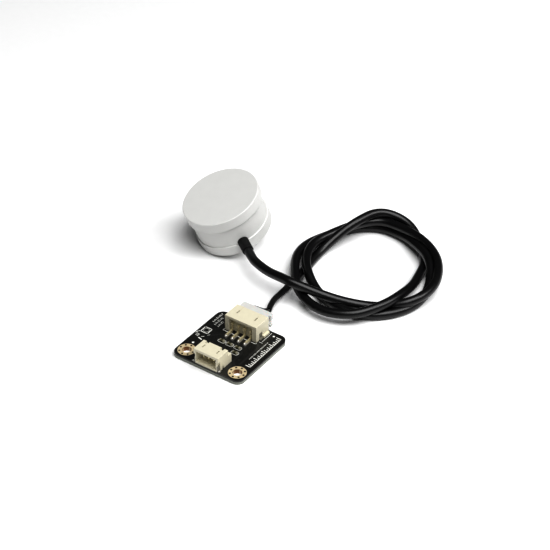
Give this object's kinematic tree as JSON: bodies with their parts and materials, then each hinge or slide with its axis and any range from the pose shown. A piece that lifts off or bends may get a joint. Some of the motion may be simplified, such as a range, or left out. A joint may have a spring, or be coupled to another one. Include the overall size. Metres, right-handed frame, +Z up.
{
  "type": "non-contact liquid level sensor",
  "caption": "Round white puck with a flat sensing face on a black coiled cable, plugged into a small adapter board with two mounting holes.",
  "frame": {"origin": "midpoint between the two mounting holes, on the underside of the adapter board, which lies on the same surface as the cable and the puck", "axes": "+X from the left to the right mounting hole, +Y from the output header to the input header, +Z up"},
  "size_m": [0.0935, 0.1056, 0.0245],
  "materials": {
    "puck_white": "fine moulded matt",
    "copper_foil": "bare copper",
    "potting": "cast epoxy",
    "board_green": "solder mask",
    "chip_black": "moulded epoxy",
    "ceramic": "ceramic with tinned ends",
    "led_clear": "clear resin",
    "trimmer_blue": "moulded",
    "brass_rotor": "machined",
    "cap_rubber": "soft rubber",
    "boot_black": "heat shrink",
    "cord_black": "satin PVC",
    "wire_dark": "PVC insulation",
    "plug_white": "nylon",
    "contact_tin": "tinned bronze",
    "board_black": "black solder mask",
    "plating_gold": "gold over copper",
    "header_ivory": "nylon",
    "pin_gold": "plated square pin",
    "tab_tin": "tinned"
  },
  "bodies": {
    "sensor": {"front_shell": "puck_white", "housing": "puck_white", "rear_cover": "puck_white", "sensing_electrode": "copper_foil", "potting_block": "potting", "sensor_board": "board_green", "controller_chip": "chip_black", "sensor_chip_parts": "ceramic", "status_led": "led_clear", "led_window": "led_clear", "trimmer_body": "trimmer_blue", "cable_boot": "boot_black", "cord_lead": "cord_black", "cord_coil": "cord_black", "plug_sleeve": "boot_black", "core_wires": "wire_dark", "puck_wires": "wire_dark", "plug_housing": "plug_white", "plug_contacts": "contact_tin"},
    "rotor": {"trimmer_rotor": "brass_rotor"},
    "cap": {"trimmer_cap": "cap_rubber"},
    "adapter": {"adapter_board": "board_black", "plated_holes": "plating_gold", "input_header": "header_ivory", "input_header_pins": "pin_gold", "input_header_tabs": "tab_tin", "output_header": "header_ivory", "output_header_pins": "pin_gold", "output_header_tabs": "tab_tin", "solder_pads": "tab_tin", "chip_resistors": "ceramic", "chip_capacitor": "ceramic"}
  },
  "joints": [
    {"name": "adapter_unplugs", "type": "slide", "parent": "sensor", "child": "adapter", "axis": [0, -1, 0], "range_m": [0, 0.008]},
    {"name": "trimmer_turns", "type": "hinge", "parent": "sensor", "child": "rotor", "pos_m": [-0.03273, 0.06448, 0.009], "axis": [0.1735, 0.308, -0.9354], "range_deg": [-135, 135]},
    {"name": "cap_pulls_off", "type": "slide", "parent": "sensor", "child": "cap", "axis": [0.1735, 0.308, -0.9354], "range_m": [0, 0.004]}
  ]
}
